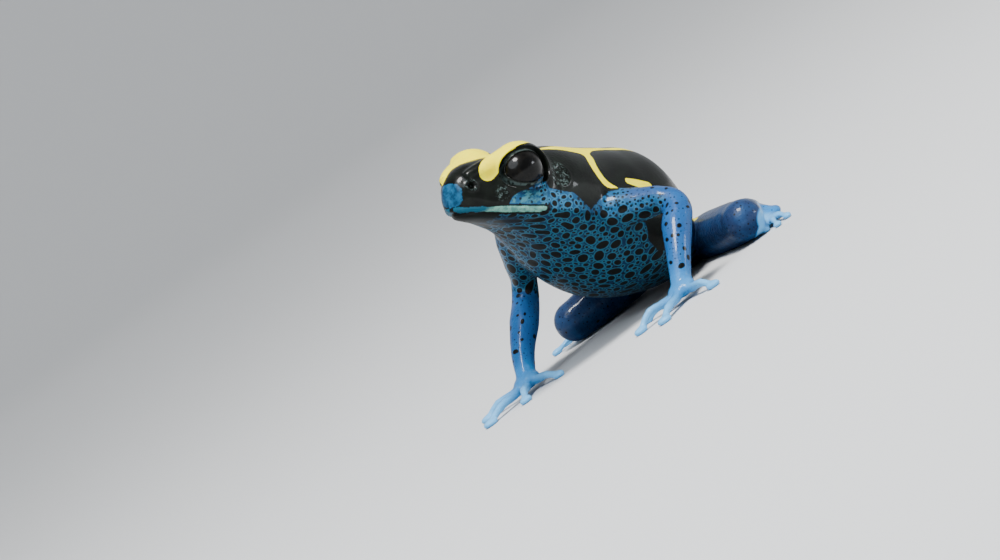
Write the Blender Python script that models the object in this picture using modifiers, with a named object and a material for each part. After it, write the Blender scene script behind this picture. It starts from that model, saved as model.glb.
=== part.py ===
"""A dyeing poison dart frog as a still, life-size model, sitting with its front raised.

Metres, +Z up. The frog faces -Y, its left side is towards +X, and it rests on the plane Z = 0.
The trunk is one loft through cross-sections, each limb is a set of tapered tubes and pads fused
by a voxel remesh, and thin cuts then part them where a person would name a new part.
"""

import math
from collections import namedtuple

import bmesh
import bpy
from mathutils import Matrix, Vector
from mathutils.bvhtree import BVHTree

MM = 0.001
GAP = 0.3 * MM

# The trunk's stance: how far the snout is raised and how far the body leans to its left.
SHOULDER_HEIGHT = 13.7 * MM
TORSO_PITCH = math.radians(25)
TORSO_LEAN = math.radians(14)
TORSO_YAW = math.radians(3)
HEAD_PITCH = math.radians(31)
HEAD_LEAN = math.radians(18.5)
HEAD_YAW = math.radians(-4)
NECK = (0, -1.0, 2.0)

# One cross-section: its place along the trunk, the level of its widest point, its half width,
# its height above and depth below that level, and how square it is above and below (2 is an
# ellipse).
Section = namedtuple("Section", "y widest half_width rise drop power keel", defaults=[2.1])

# Millimetres, in the head's frame: y runs back from the neck joint, so the snout is negative.
HEAD_SECTIONS = [
    Section(-15.3, -0.8, 1.0, 0.9, 1.0, 2.1, 1.8),
    Section(-14.8, -1.2, 1.7, 2.2, 1.9, 2.2, 1.8),
    Section(-13.5, -1.8, 2.6, 3.9, 1.85, 2.4, 1.8),
    Section(-11.4, -2.3, 3.7, 5.2, 1.35, 2.5, 1.6),
    Section(-8.6, -2.5, 4.9, 6.1, 1.15, 2.5, 1.4),
    Section(-5.6, -2.5, 6.0, 7.0, 1.4, 2.3, 1.4),
    Section(-2.2, -2.3, 6.8, 7.6, 2.8, 2.2, 1.8),
]
# Millimetres, in the torso's frame: y runs back from the line between the shoulders.
TORSO_SECTIONS = [
    Section(1.5, -1.4, 7.4, 8.9, 4.6, 2.1),
    Section(6.0, -1.2, 8.2, 8.9, 6.6, 2.1),
    Section(10.5, -1.0, 8.4, 8.75, 6.9, 2.1),
    Section(14.5, -1.2, 7.1, 6.4, 6.0, 2.1),
    Section(18.0, -1.8, 5.2, 4.6, 4.3, 2.1),
    Section(21.5, -2.4, 3.6, 3.2, 2.8, 2.1),
    Section(24.5, -2.3, 2.3, 2.0, 1.6, 2.0),
    Section(26.2, -2.1, 1.2, 1.1, 1.0, 2.0),
]
RING_POINTS = 40
RINGS_BETWEEN = 4

# Features of the left side of the head, in millimetres in its frame; the right side mirrors them.
BROW_CENTRE, BROW_RADII = Vector((3.3, -8.1, 1.65)), Vector((2.85, 3.45, 3.15))
# The blunt ridge from the brow to the nostril: points x, y, z and its radius.
RIDGE = [(2.9, -9.9, 2.7, 1.35), (2.5, -11.6, 1.95, 1.05), (1.9, -13.4, 1.05, 0.85), (1.45, -14.4, 0.4, 0.7)]
EYE_CENTRE, EYE_RADIUS, LID_RADIUS = Vector((3.55, -8.45, 1.55)), 2.32, 2.78
EYE_FACING = Vector((1.0, -0.36, 0.14)).normalized()
LID_OPENING, LID_TILT = (2.17, 1.68), math.radians(12)
MOUTH_LEVEL, MOUTH_CORNER = -3.0, -6.4
NOSTRIL = Vector((1.9, -14.3, -0.35))
EAR_CENTRE, EAR_RADII = Vector((5.7, -4.4, 1.4)), (1.1, 1.3)
EAR_FACING = Vector((1.0, -0.22, 0.42)).normalized()


def pose(origin, pitch, lean, yaw=0.0):
    """A frame whose -Y is raised by pitch and whose +X side is lowered by lean."""
    turn = Matrix.Rotation(yaw, 4, "Z") @ Matrix.Rotation(-pitch, 4, "X") @ Matrix.Rotation(lean, 4, "Y")
    return Matrix.Translation(origin) @ turn


TORSO = pose(Vector((0, 0, SHOULDER_HEIGHT)), TORSO_PITCH, TORSO_LEAN, TORSO_YAW)
HEAD = pose(TORSO @ (Vector(NECK) * MM), HEAD_PITCH, HEAD_LEAN, HEAD_YAW)


def mesh_object(name, vertices, faces):
    mesh = bpy.data.meshes.new(name)
    mesh.from_pydata(vertices, [], faces)
    body = bpy.data.objects.new(name, mesh)
    bpy.context.scene.collection.objects.link(body)
    return body


def ring_of(section, frame):
    """The points of one cross-section, set in the frame."""
    points = []
    for step in range(RING_POINTS):
        turn = 2 * math.pi * step / RING_POINTS
        across, up = math.cos(turn), math.sin(turn)
        height = section.rise if up > 0 else section.drop
        power = section.power if up > 0 else section.keel
        x = section.half_width * math.copysign(abs(across) ** (2 / power), across)
        z = section.widest + height * math.copysign(abs(up) ** (2 / power), up)
        points.append(frame @ (Vector((x, section.y, z)) * MM))
    return points


def between(before, start, end, after, share):
    """A point on the smooth curve from start to end, after Catmull and Rom."""
    linear = end - before
    square = 2 * before - 5 * start + 4 * end - after
    cube = 3 * start - before - 3 * end + after
    return start + 0.5 * share * (linear + share * (square + share * cube))


def loft(name, rings):
    """A closed skin over key rings, smooth between them, with a point at each end."""
    last = len(rings) - 1
    smooth = []
    for index in range(last):
        before, after = rings[max(index - 1, 0)], rings[min(index + 2, last)]
        for step in range(RINGS_BETWEEN):
            share = step / RINGS_BETWEEN
            smooth.append(
                [between(*corners, share) for corners in zip(before, rings[index], rings[index + 1], after)]
            )
    smooth.append(rings[last])
    count = len(rings[0])
    vertices = [point for ring in smooth for point in ring]
    faces = []
    for row in range(len(smooth) - 1):
        for step in range(count):
            a, b = row * count + step, row * count + (step + 1) % count
            faces.append((a, b, b + count, a + count))
    faces.append(tuple(range(count))[::-1])
    faces.append(tuple(range((len(smooth) - 1) * count, len(smooth) * count)))
    return mesh_object(name, vertices, faces)


def ball(name, centre, radii, frame=Matrix.Identity(4), sides=24):
    """An ellipsoid in a frame."""
    bpy.ops.mesh.primitive_uv_sphere_add(segments=sides, ring_count=sides // 2, radius=1)
    body = bpy.context.object
    body.name = name
    place = frame @ Matrix.Translation(centre) @ Matrix.Diagonal((*radii, 1))
    body.data.transform(place)
    if place.determinant() < 0:
        body.data.flip_normals()
    return body


def tube(name, points, radii, sides=3, steps=6):
    """A tapered tube with a rounded route, from points and radii in metres, as a mesh."""
    curve = bpy.data.curves.new(name, "CURVE")
    curve.dimensions = "3D"
    curve.bevel_depth = MM
    curve.bevel_resolution = sides
    curve.resolution_u = steps
    curve.use_fill_caps = True
    spline = curve.splines.new("BEZIER")
    spline.bezier_points.add(len(points) - 1)
    for knot, point, radius in zip(spline.bezier_points, points, radii):
        knot.co = point
        knot.radius = radius / MM
        knot.handle_left_type = knot.handle_right_type = "AUTO"
    guide = bpy.data.objects.new(name, curve)
    bpy.context.scene.collection.objects.link(guide)
    bpy.context.view_layer.update()
    mesh = bpy.data.meshes.new_from_object(guide.evaluated_get(bpy.context.evaluated_depsgraph_get()))
    bpy.data.objects.remove(guide)
    made = bmesh.new()
    made.from_mesh(mesh)
    bmesh.ops.remove_doubles(made, verts=made.verts, dist=0.001 * MM)
    made.to_mesh(mesh)
    made.free()
    body = bpy.data.objects.new(name, mesh)
    bpy.context.scene.collection.objects.link(body)
    return body


def joined(name, bodies):
    """One object that holds all the pieces' meshes."""
    made = bmesh.new()
    for body in bodies:
        made.from_mesh(body.data)
        bpy.data.objects.remove(body)
    mesh = bpy.data.meshes.new(name)
    made.to_mesh(mesh)
    made.free()
    whole = bpy.data.objects.new(name, mesh)
    bpy.context.scene.collection.objects.link(whole)
    return whole


def fused(name, bodies, voxel, rounds):
    """The pieces as one smooth closed skin."""
    whole = joined(name, bodies)
    remesh = whole.modifiers.new("fuse", "REMESH")
    remesh.mode = "VOXEL"
    remesh.voxel_size = voxel
    smooth = whole.modifiers.new("soften", "SMOOTH")
    smooth.factor = 0.5
    smooth.iterations = rounds
    apply_modifiers(whole)
    return whole


def apply_modifiers(body):
    bpy.context.view_layer.update()
    mesh = bpy.data.meshes.new_from_object(body.evaluated_get(bpy.context.evaluated_depsgraph_get()))
    body.modifiers.clear()
    body.data = mesh


def clear_scene():
    for body in list(bpy.data.objects):
        bpy.data.objects.remove(body)


def facing(centre, outward):
    """A frame at a point, its Z outward and its X level, for the eyes, lids and ears."""
    across = Vector((0, 0, 1)).cross(outward).normalized()
    turn = Matrix((across, outward.cross(across), outward)).transposed().to_4x4()
    return Matrix.Translation(centre) @ turn


def ring(name, frame, size, thick, steps, dome=0.0):
    """An oval ring of round section, flat or lying on a dome about the frame's origin."""
    bpy.ops.mesh.primitive_torus_add(
        major_radius=1, minor_radius=0.3, major_segments=steps, minor_segments=7
    )
    body = bpy.context.object
    body.name = name
    for corner in body.data.vertices:
        level = Vector((corner.co.x, corner.co.y, 0))
        out = level.normalized()
        edge = Vector((out.x * size[0], out.y * size[1], 0))
        rise = math.sqrt(dome**2 - edge.length_squared) if dome else 0.0
        edge.z = rise
        corner.co = edge + (out * (level.length - 1) + Vector((0, 0, corner.co.z))) * (thick / 0.3)
    body.data.transform(frame)
    return body


def plug(name, frame, size, depth):
    """An oval peg that stands on its frame, for cutting."""
    bpy.ops.mesh.primitive_cylinder_add(vertices=40, radius=1, depth=1)
    body = bpy.context.object
    body.name = name
    body.data.transform(frame @ Matrix.Diagonal((*size, depth, 1)))
    return body


def surface_path(body, level, corner, count, frame):
    """Points on the surface, at one level of a frame, from a left corner round the front."""
    tree = BVHTree.FromObject(body, bpy.context.evaluated_depsgraph_get())
    centre = Vector((0, corner, level)) * MM
    points = []
    for step in range(count):
        turn = math.pi * step / (count - 1)
        way = Vector((math.cos(turn), -2.2 * math.sin(turn), 0)).normalized()
        hit, normal, index, distance = tree.ray_cast(frame @ centre, frame.to_3x3() @ way)
        points.append(hit)
    return points


def combine(body, others, operation="DIFFERENCE"):
    """Take the other bodies out of this one, or add them to it, one after the other."""
    for other in others:
        step = body.modifiers.new("combine", "BOOLEAN")
        step.operation = operation
        step.solver = "MANIFOLD"
        step.object = other
        apply_modifiers(body)
        bpy.data.objects.remove(other)


def thinned(body, triangles):
    """Fewer triangles, with the form kept."""
    count = sum(len(face.vertices) - 2 for face in body.data.polygons)
    decimate = body.modifiers.new("thin", "DECIMATE")
    decimate.ratio = min(1.0, triangles / count)
    apply_modifiers(body)
    return body


def side_frame(side):
    return HEAD @ Matrix.Diagonal((1 if side == "left" else -1, 1, 1, 1))


def opening_frame(side, centre, outward, tilt=0.0):
    """The frame of an eye or ear, on either side of the head, its front end lowered by the tilt."""
    sign = 1 if side == "left" else -1
    place = Vector((centre.x * sign, centre.y, centre.z)) * MM
    frame = facing(place, Vector((outward.x * sign, outward.y, outward.z)))
    return HEAD @ frame @ Matrix.Rotation(tilt * sign, 4, "Z")


def make_trunk():
    """Head and torso as one skin, with the brows over the eyes and the lips."""
    rings = [ring_of(section, HEAD) for section in HEAD_SECTIONS]
    rings += [ring_of(section, TORSO) for section in TORSO_SECTIONS]
    hull = loft("hull", rings)
    lips = surface_path(hull, MOUTH_LEVEL + 0.38, MOUTH_CORNER, 25, HEAD)
    jaw = surface_path(hull, MOUTH_LEVEL - 0.38, MOUTH_CORNER, 25, HEAD)
    pieces = [hull]
    pieces.append(tube("lips", lips, [0.24 * MM] * len(lips)))
    pieces.append(tube("jaw", jaw, [0.22 * MM] * len(jaw)))
    for side in ("left", "right"):
        pieces.append(ball("brow", BROW_CENTRE * MM, BROW_RADII * MM, side_frame(side)))
        pieces.append(ball("lid", EYE_CENTRE * MM, Vector((1, 1, 1)) * LID_RADIUS * MM, side_frame(side)))
        route = [side_frame(side) @ millimetres(place) for *place, radius in RIDGE]
        pieces.append(tube("ridge", route, [radius * MM for *place, radius in RIDGE]))
    return thinned(fused("trunk", pieces, 0.26 * MM, 3), 4100)


def cut_face(trunk):
    """The lids and sockets of the eyes, the ears' rims and sunk discs, the nostrils and the mouth."""
    for side in ("left", "right"):
        rim = opening_frame(side, EYE_CENTRE, EYE_FACING, LID_TILT)
        ear = opening_frame(side, EAR_CENTRE, EAR_FACING)
        lid = ring("lid", rim, [size * MM for size in LID_OPENING], 0.2 * MM, 30, (LID_RADIUS - 0.03) * MM)
        ear_rim = ring("ear", ear, [size * MM for size in EAR_RADII], 0.2 * MM, 24)
        combine(trunk, [lid, ear_rim], "UNION")
        hollow = Vector((1, 1, 1)) * (EYE_RADIUS * MM + GAP)
        socket = ball("socket", EYE_CENTRE * MM, hollow, side_frame(side))
        opening = opening_frame(side, EYE_CENTRE + EYE_FACING * 3.0, EYE_FACING, LID_TILT)
        lids = plug("lids", opening, [(size - 0.08) * MM for size in LID_OPENING], 4.0 * MM)
        drum = Vector(((EAR_RADII[0] - 0.15), (EAR_RADII[1] - 0.15), 0.5)) * MM
        drum = ball("drum", Vector((0, 0, 0.3 * MM)), drum, ear, 16)
        nostril = ball("nostril", NOSTRIL * MM, Vector((0.5, 0.4, 0.32)) * MM, side_frame(side), 12)
        combine(trunk, [socket, lids, drum, nostril])
    seam = surface_path(trunk, MOUTH_LEVEL, MOUTH_CORNER, 33, HEAD)
    combine(trunk, [tube("mouth", seam, [0.2 * MM] * len(seam), 1, 1)])


# Limb joints in millimetres. Shoulders and hips are in the torso's frame, the rest stand on the floor.
Arm = namedtuple("Arm", "shoulder elbow wrist palm")
ARMS = {
    "left": Arm((6.2, 0.5, -0.7), (12.0, 1.8, 8.9), (11.8, -4.6, 3.5), (11.4, -6.4, 1.3)),
    "right": Arm((-6.2, 0.5, -0.4), (-11.1, 3.9, 8.6), (-11.3, -4.4, 3.0), (-11.0, -6.1, 1.3)),
}
# Each digit: its direction, in degrees from straight ahead towards the frog's left, its length
# from the palm, how high its middle arches, and its disc's width, in millimetres.
Digit = namedtuple("Digit", "heading length arch disc")
HANDS = {
    "left": [
        Digit(-86, 5.4, 0.9, 1.3),
        Digit(-36, 6.4, 1.3, 1.5),
        Digit(6, 7.6, 0.9, 1.7),
        Digit(62, 5.6, 1.0, 1.6),
    ],
    "right": [
        Digit(74, 4.8, 0.9, 1.3),
        Digit(22, 6.2, 1.0, 1.5),
        Digit(-14, 7.6, 0.9, 1.7),
        Digit(-60, 5.6, 1.0, 1.6),
    ],
}
Leg = namedtuple("Leg", "hip knee heel ball")
LEGS = {
    "left": Leg((2.6, 22.5, -1.9), (13.6, 8.15, 2.5), (7.6, 20.6, 1.6), (13.0, 13.9, 0.95)),
    "right": Leg((-2.6, 22.5, -1.9), (-12.9, 11.3, 2.3), (-7.6, 22.6, 1.7), (-12.8, 17.8, 0.95)),
}
FEET = {
    "left": [Digit(-6, 2.4, 0.5, 1.0), Digit(8, 3.6, 0.6, 1.1), Digit(20, 5.2, 0.7, 1.2),
             Digit(33, 7.2, 0.7, 1.3), Digit(48, 5.4, 0.7, 1.2)],
    "right": [Digit(8, 2.4, 0.5, 1.0), Digit(-8, 3.6, 0.6, 1.1), Digit(-22, 5.4, 0.7, 1.2),
              Digit(-36, 7.6, 0.7, 1.3), Digit(-54, 5.6, 0.7, 1.2)],
}


def millimetres(values):
    return Vector(values) * MM


def ahead(heading):
    """The level direction at a heading, in degrees from straight ahead towards the left."""
    return Vector((math.sin(math.radians(heading)), -math.cos(math.radians(heading)), 0))


def digits(palm, items, thick):
    """Fingers or toes: each a tube that arches from the palm and ends in a flat disc."""
    pieces = []
    for item in items:
        way = ahead(item.heading)
        length = item.length * MM
        tip = palm + way * length
        tip.z = 0.3 * MM
        knuckle = palm + way * length * 0.3
        knuckle.z = palm.z * 0.75
        middle = palm + way * length * 0.68
        middle.z = item.arch * MM
        radii = [thick * 1.25, thick, thick * 0.85, thick * 0.7]
        pieces.append(tube("digit", [palm, knuckle, middle, tip], radii))
        turn = Matrix.Rotation(math.atan2(way.y, way.x), 4, "Z")
        radii = Vector((item.disc * 0.56, item.disc * 0.5, 0.42)) * MM
        pieces.append(ball("disc", Vector((0, 0, 0)), radii, Matrix.Translation(tip) @ turn))
    return pieces


def make_arm(side):
    """Upper arm, forearm and hand as one skin."""
    arm = ARMS[side]
    shoulder = TORSO @ millimetres(arm.shoulder)
    elbow, wrist, palm = (millimetres(place) for place in arm[1:])
    points = [
        shoulder.lerp(elbow, -0.3), shoulder.lerp(elbow, 0.1), shoulder.lerp(elbow, 0.45),
        shoulder.lerp(elbow, 0.82), elbow.lerp(wrist, 0.1), elbow.lerp(wrist, 0.45),
        elbow.lerp(wrist, 0.85), palm,
    ]
    radii = [width * MM for width in (2.2, 2.2, 1.85, 1.45, 1.5, 1.62, 1.3, 1.05)]
    pieces = [tube("arm", points, radii, 4)]
    pieces.append(ball("palm", palm, Vector((1.6, 1.6, 0.9)) * MM))
    pieces += digits(palm, HANDS[side], 0.5 * MM)
    return thinned(fused("arm_" + side, pieces, 0.2 * MM, 3), 1560)


def make_leg(side):
    """Thigh, shank and foot, each with its own skin, since the folded leg presses them together."""
    leg = LEGS[side]
    hip = TORSO @ millimetres(leg.hip)
    knee, heel, sole = (millimetres(place) for place in leg[1:])
    route = [hip.lerp(knee, -0.12), hip.lerp(knee, 0.1), hip.lerp(knee, 0.4), hip.lerp(knee, 0.85), knee]
    widths = [width * MM for width in (1.7, 2.3, 2.5, 2.4, 2.2)]
    thigh = [tube("thigh", route, widths, 4), ball("knee", knee, Vector((2.3, 2.3, 2.3)) * MM)]
    thigh = fused("thigh_" + side, thigh, 0.3 * MM, 3)
    route = [knee.lerp(heel, 0.1), knee.lerp(heel, 0.4), knee.lerp(heel, 0.8), heel]
    widths = [width * MM for width in (1.8, 2.0, 1.6, 1.3)]
    shank = [tube("shank", route, widths, 4), ball("heel", heel, Vector((1.45, 1.45, 1.4)) * MM)]
    shank = fused("shank_" + side, shank, 0.3 * MM, 3)
    route = [heel, heel.lerp(sole, 0.5), sole]
    pieces = [tube("tarsus", route, [1.3 * MM, 1.15 * MM, 1.15 * MM])]
    pieces.append(ball("sole", sole, Vector((1.7, 1.7, 0.8)) * MM))
    foot = fused("foot_" + side, pieces + digits(sole, FEET[side], 0.48 * MM), 0.2 * MM, 3)
    return thinned(thigh, 460), thinned(shank, 400), thinned(foot, 1060)


def side_of(body, name, point, normal):
    """A new object: the part of the body on the side that the normal points to, closed by a flat."""
    made = bmesh.new()
    made.from_mesh(body.data)
    everything = made.verts[:] + made.edges[:] + made.faces[:]
    bmesh.ops.bisect_plane(made, geom=everything, plane_co=point, plane_no=normal, clear_inner=True)
    rim = [edge for edge in made.edges if edge.is_boundary]
    flat = bmesh.ops.holes_fill(made, edges=rim, sides=0)["faces"]
    bmesh.ops.triangulate(made, faces=flat)
    mesh = bpy.data.meshes.new(name)
    made.to_mesh(mesh)
    made.free()
    part = bpy.data.objects.new(name, mesh)
    bpy.context.scene.collection.objects.link(part)
    return part


def parted(body, names, cuts):
    """The pieces of a body in order, with thin flat gaps between them."""
    rest = body
    parts = []
    for name, (point, normal) in zip(names, cuts):
        normal = normal.normalized()
        parts.append(side_of(rest, name, point - normal * GAP / 2, -normal))
        beyond = side_of(rest, names[-1], point + normal * GAP / 2, normal)
        bpy.data.objects.remove(rest)
        rest = beyond
    rest.name = names[-1]
    return parts + [rest]


def grown(body, distance):
    """A copy of the body, grown outward, for cutting a neighbour clear of it."""
    copy = bpy.data.objects.new("grown", body.data.copy())
    bpy.context.scene.collection.objects.link(copy)
    swell = copy.modifiers.new("swell", "DISPLACE")
    swell.strength = distance
    swell.mid_level = 0
    apply_modifiers(copy)
    return copy


def arm_parts(side, trunk):
    """Upper arm, forearm and hand, cut clear of the trunk and of one another."""
    arm = make_arm(side)
    combine(arm, [grown(trunk, GAP)])
    shoulder = TORSO @ millimetres(ARMS[side].shoulder)
    elbow, wrist, palm = (millimetres(place) for place in ARMS[side][1:])
    fold = (elbow - shoulder).normalized() + (wrist - elbow).normalized()
    names = ["upper_arm_" + side, "forearm_" + side, "hand_" + side]
    return parted(arm, names, [(elbow, fold), (elbow.lerp(wrist, 0.97), palm - elbow)])


def leg_parts(side, trunk):
    """Thigh, shank and foot, each cut clear of what it is pressed against."""
    thigh, shank, foot = make_leg(side)
    combine(shank, [grown(thigh, GAP)])
    combine(foot, [grown(shank, GAP)])
    combine(foot, [grown(thigh, GAP)])
    for part in (thigh, shank, foot):
        combine(part, [grown(trunk, GAP)])
    return [thigh, shank, foot]


def largest(body):
    """Keep only the largest connected piece of the body."""
    made = bmesh.new()
    made.from_mesh(body.data)
    left, pieces = set(made.verts), []
    while left:
        queue, piece = [left.pop()], []
        while queue:
            corner = queue.pop()
            piece.append(corner)
            for edge in corner.link_edges:
                other = edge.other_vert(corner)
                if other in left:
                    left.remove(other)
                    queue.append(other)
        pieces.append(piece)
    pieces.sort(key=len)
    for piece in pieces[:-1]:
        bmesh.ops.delete(made, geom=piece, context="VERTS")
    made.to_mesh(body.data)
    made.free()


def on_floor(body):
    """The body with a small flat wherever it reaches below the floor."""
    if min(corner.co.z for corner in body.data.vertices) >= 0:
        return body
    name = body.name
    flat = side_of(body, name, Vector((0, 0, 0)), Vector((0, 0, 1)))
    bpy.data.objects.remove(body)
    flat.name = name
    return flat


COLOURS = {"head": (0.02, 0.02, 0.025), "torso": (0.02, 0.02, 0.025), "eye": (0.004, 0.004, 0.004)}
LIMB_COLOUR = (0.02, 0.13, 0.5)


def painted(body):
    colour = COLOURS.get(body.name.split("_")[0], LIMB_COLOUR)
    skin = bpy.data.materials.new(body.name)
    skin.use_nodes = True
    shader = skin.node_tree.nodes["Principled BSDF"]
    shader.inputs["Base Color"].default_value = (*colour, 1)
    shader.inputs["Roughness"].default_value = 0.3
    body.data.materials.clear()
    body.data.materials.append(skin)


def centred(bodies):
    """Move the whole frog so that the middle of its box stands on the origin."""
    corners = [corner.co for body in bodies for corner in body.data.vertices]
    middle = [(min(co[axis] for co in corners) + max(co[axis] for co in corners)) / 2 for axis in (0, 1)]
    for body in bodies:
        body.data.transform(Matrix.Translation((-middle[0], -middle[1], 0)))
    return middle


def main():
    clear_scene()
    trunk = make_trunk()
    bodies = []
    for side in ("left", "right"):
        bodies += arm_parts(side, trunk) + leg_parts(side, trunk)
    cut_face(trunk)
    neck = HEAD @ Vector((0, -0.4 * MM, 0))
    bodies += parted(trunk, ["head", "torso"], [(neck, HEAD.to_3x3() @ Vector((0, 1, 0)))])
    for side in ("left", "right"):
        eye = ball("eye_" + side, EYE_CENTRE * MM, Vector((1, 1, 1)) * EYE_RADIUS * MM, side_frame(side))
        bodies.append(eye)
    for body in bodies:
        largest(body)
    bodies = [on_floor(body) for body in bodies]
    shift = centred(bodies)
    for body in bodies:
        painted(body)
    return shift


centre_shift = main()
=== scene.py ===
"""The looks of the dart frog: one glossy, marked skin over the solids, and wet dark eyes."""

import math
from collections import namedtuple

import bmesh
import bpy
import numpy as np
from mathutils import Matrix, Vector


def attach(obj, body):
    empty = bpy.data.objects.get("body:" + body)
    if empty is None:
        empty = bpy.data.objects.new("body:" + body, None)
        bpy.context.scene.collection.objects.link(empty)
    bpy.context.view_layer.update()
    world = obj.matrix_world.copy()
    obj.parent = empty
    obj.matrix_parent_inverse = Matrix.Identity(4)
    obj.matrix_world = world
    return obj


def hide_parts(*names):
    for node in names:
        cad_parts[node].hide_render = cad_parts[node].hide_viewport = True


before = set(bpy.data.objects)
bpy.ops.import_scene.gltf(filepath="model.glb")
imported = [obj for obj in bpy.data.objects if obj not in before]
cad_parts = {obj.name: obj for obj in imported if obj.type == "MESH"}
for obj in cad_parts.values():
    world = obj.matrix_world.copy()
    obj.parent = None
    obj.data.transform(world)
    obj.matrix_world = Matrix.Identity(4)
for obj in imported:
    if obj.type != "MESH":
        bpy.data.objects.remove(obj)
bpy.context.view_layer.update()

MM = 0.001
SKIN_VOXEL = 0.1 * MM
# In a field of distances, in millimetres: a point that no shape is near.
FAR_AWAY = 99.0

# The stance, as in the solids: metres, +Z up, the frog faces -Y and its left side is towards +X.
SHOULDER_HEIGHT = 13.7 * MM
TORSO_PITCH = math.radians(25)
TORSO_LEAN = math.radians(14)
TORSO_YAW = math.radians(3)
HEAD_PITCH = math.radians(31)
HEAD_LEAN = math.radians(18.5)
HEAD_YAW = math.radians(-4)
NECK = (0, -1.0, 2.0)

# One cross-section: its place along the trunk, the level of its widest point, its half width,
# its height above and depth below that level, and how square it is above and below (2 is an
# ellipse).
Section = namedtuple("Section", "y widest half_width rise drop power keel", defaults=[2.1])

HEAD_SECTIONS = [
    Section(-15.3, -0.8, 1.0, 0.9, 1.0, 2.1, 1.8),
    Section(-14.8, -1.2, 1.7, 2.2, 1.9, 2.2, 1.8),
    Section(-13.5, -1.8, 2.6, 3.9, 1.85, 2.4, 1.8),
    Section(-11.4, -2.3, 3.7, 5.2, 1.35, 2.5, 1.6),
    Section(-8.6, -2.5, 4.9, 6.1, 1.15, 2.5, 1.4),
    Section(-5.6, -2.5, 6.0, 7.0, 1.4, 2.3, 1.4),
    Section(-2.2, -2.3, 6.8, 7.6, 2.8, 2.2, 1.8),
]
TORSO_SECTIONS = [
    Section(1.5, -1.4, 7.4, 8.9, 4.6, 2.1),
    Section(6.0, -1.2, 8.2, 8.9, 6.6, 2.1),
    Section(10.5, -1.0, 8.4, 8.75, 6.9, 2.1),
    Section(14.5, -1.2, 7.1, 6.4, 6.0, 2.1),
    Section(18.0, -1.8, 5.2, 4.6, 4.3, 2.1),
    Section(21.5, -2.4, 3.6, 3.2, 2.8, 2.1),
    Section(24.5, -2.3, 2.3, 2.0, 1.6, 2.0),
    Section(26.2, -2.1, 1.2, 1.1, 1.0, 2.0),
]
RING_POINTS = 120
RINGS_BETWEEN = 12

# Features of the left side of the head, in millimetres in its frame; the right side mirrors them.
BROW_CENTRE, BROW_RADII = Vector((3.3, -8.1, 1.65)), Vector((2.85, 3.45, 3.15))
# The blunt ridge from the brow to the nostril: points x, y, z and its radius.
RIDGE = [
    (2.9, -9.9, 2.7, 1.35), (2.5, -11.6, 1.95, 1.05), (1.9, -13.4, 1.05, 0.85), (1.45, -14.4, 0.4, 0.7),
]
EYE_CENTRE, EYE_RADIUS, LID_RADIUS = Vector((3.55, -8.4, 1.55)), 2.42, 2.62
EYE_FACING = Vector((1.0, -0.36, 0.14)).normalized()
LID_OPENING, LID_TILT = (2.26, 1.66), math.radians(12)
PUPIL = (1.15, 0.8)
MOUTH_LEVEL, MOUTH_CORNER = -3.15, -6.4
NOSTRIL = Vector((2.05, -14.2, -0.35))
EAR_CENTRE, EAR_RADIUS = Vector((5.7, -4.4, 1.4)), 1.25
HOLLOW_CENTRE, HOLLOW_RADII = [3.6, -12.1, -0.5], [1.3, 1.6, 1.0]

Arm = namedtuple("Arm", "shoulder elbow wrist palm")
ARMS = {
    "left": Arm((6.2, 0.5, -0.7), (12.0, 1.8, 8.9), (11.8, -4.6, 3.5), (11.4, -6.4, 1.3)),
    "right": Arm((-6.2, 0.5, -0.4), (-11.1, 3.9, 8.6), (-11.3, -4.4, 3.0), (-11.0, -6.1, 1.3)),
}
# Each digit: its direction, in degrees from straight ahead towards the frog's left, its length
# from the palm, how high its middle arches, and its disc's width, in millimetres.
Digit = namedtuple("Digit", "heading length arch disc")
HANDS = {
    "left": [Digit(-86, 5.4, 0.9, 1.3), Digit(-36, 6.4, 1.3, 1.5), Digit(6, 7.6, 0.9, 1.7),
             Digit(62, 5.6, 1.0, 1.6)],
    "right": [Digit(74, 4.8, 0.9, 1.3), Digit(22, 6.2, 1.0, 1.5), Digit(-14, 7.6, 0.9, 1.7),
              Digit(-60, 5.6, 1.0, 1.6)],
}
# The digits' radii and their tips' level, in millimetres, and where the knuckle and the arch
# stand, as shares of a digit's length.
FINGER, TOE, TIP_LEVEL = 0.5, 0.48, 0.3
KNUCKLE_AT, ARCH_AT = 0.3, 0.68
# The radii along each limb's route, in millimetres.
ARM_WIDTHS = (2.2, 2.2, 1.85, 1.45, 1.5, 1.62, 1.3, 1.05)
THIGH_WIDTHS = (1.7, 2.3, 2.5, 2.4, 2.2)
SHANK_WIDTHS = (1.8, 2.0, 1.6, 1.3)
TARSUS_WIDTHS = (1.3, 1.15, 1.15)
Leg = namedtuple("Leg", "hip knee heel ball")
LEGS = {
    "left": Leg((2.6, 22.5, -1.9), (13.6, 8.15, 2.5), (7.6, 20.6, 1.6), (13.0, 13.9, 0.95)),
    "right": Leg((-2.6, 22.5, -1.9), (-12.9, 11.3, 2.3), (-7.6, 22.6, 1.7), (-12.8, 17.8, 0.95)),
}
FEET = {
    "left": [Digit(-6, 2.4, 0.5, 1.0), Digit(8, 3.6, 0.6, 1.1), Digit(20, 5.2, 0.7, 1.2),
             Digit(33, 7.2, 0.7, 1.3), Digit(48, 5.4, 0.7, 1.2)],
    "right": [Digit(8, 2.4, 0.5, 1.0), Digit(-8, 3.6, 0.6, 1.1), Digit(-22, 5.4, 0.7, 1.2),
              Digit(-36, 7.6, 0.7, 1.3), Digit(-54, 5.6, 0.7, 1.2)],
}


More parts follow.
